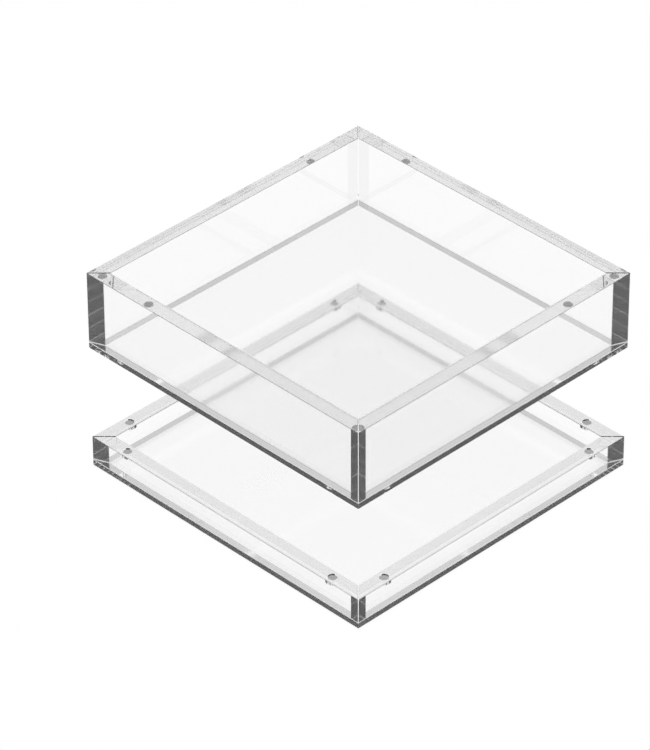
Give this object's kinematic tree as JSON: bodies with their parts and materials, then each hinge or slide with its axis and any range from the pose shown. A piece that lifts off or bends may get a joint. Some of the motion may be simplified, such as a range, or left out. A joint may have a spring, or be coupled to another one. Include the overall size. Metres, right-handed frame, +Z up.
{
  "type": "acrylic display tray",
  "caption": "Square clear acrylic display tray in two parts: a shallow base tray and a deeper upper tray that lifts off it, held by disc magnets.",
  "frame": {"origin": "middle of the base tray's underside, on the surface it stands on", "axes": "+Z up; the trays' sides run along X and Y, with the front side facing -Y"},
  "size_m": [0.27, 0.27, 0.167],
  "materials": {
    "clear_acrylic": "polished",
    "floor_acrylic": "gloss",
    "nickel_magnet": "satin"
  },
  "bodies": {
    "base_tray": {"lower_floor": "floor_acrylic", "lower_front_wall": "clear_acrylic", "lower_right_wall": "clear_acrylic", "lower_back_wall": "clear_acrylic", "lower_left_wall": "clear_acrylic", "lower_magnet_front_near_left": "nickel_magnet", "lower_magnet_front_near_right": "nickel_magnet", "lower_magnet_right_near_front": "nickel_magnet", "lower_magnet_right_near_back": "nickel_magnet", "lower_magnet_back_near_right": "nickel_magnet", "lower_magnet_back_near_left": "nickel_magnet", "lower_magnet_left_near_back": "nickel_magnet", "lower_magnet_left_near_front": "nickel_magnet"},
    "upper_tray": {"upper_floor": "floor_acrylic", "upper_front_wall": "clear_acrylic", "upper_right_wall": "clear_acrylic", "upper_back_wall": "clear_acrylic", "upper_left_wall": "clear_acrylic", "upper_magnet_front_near_left": "nickel_magnet", "upper_magnet_front_near_right": "nickel_magnet", "upper_magnet_right_near_front": "nickel_magnet", "upper_magnet_right_near_back": "nickel_magnet", "upper_magnet_back_near_right": "nickel_magnet", "upper_magnet_back_near_left": "nickel_magnet", "upper_magnet_left_near_back": "nickel_magnet", "upper_magnet_left_near_front": "nickel_magnet"}
  },
  "joints": [
    {"name": "upper_tray_lift", "type": "slide", "parent": "base_tray", "child": "upper_tray", "axis": [0, 0, 1], "range_m": [-0.0779, 0.022]}
  ]
}
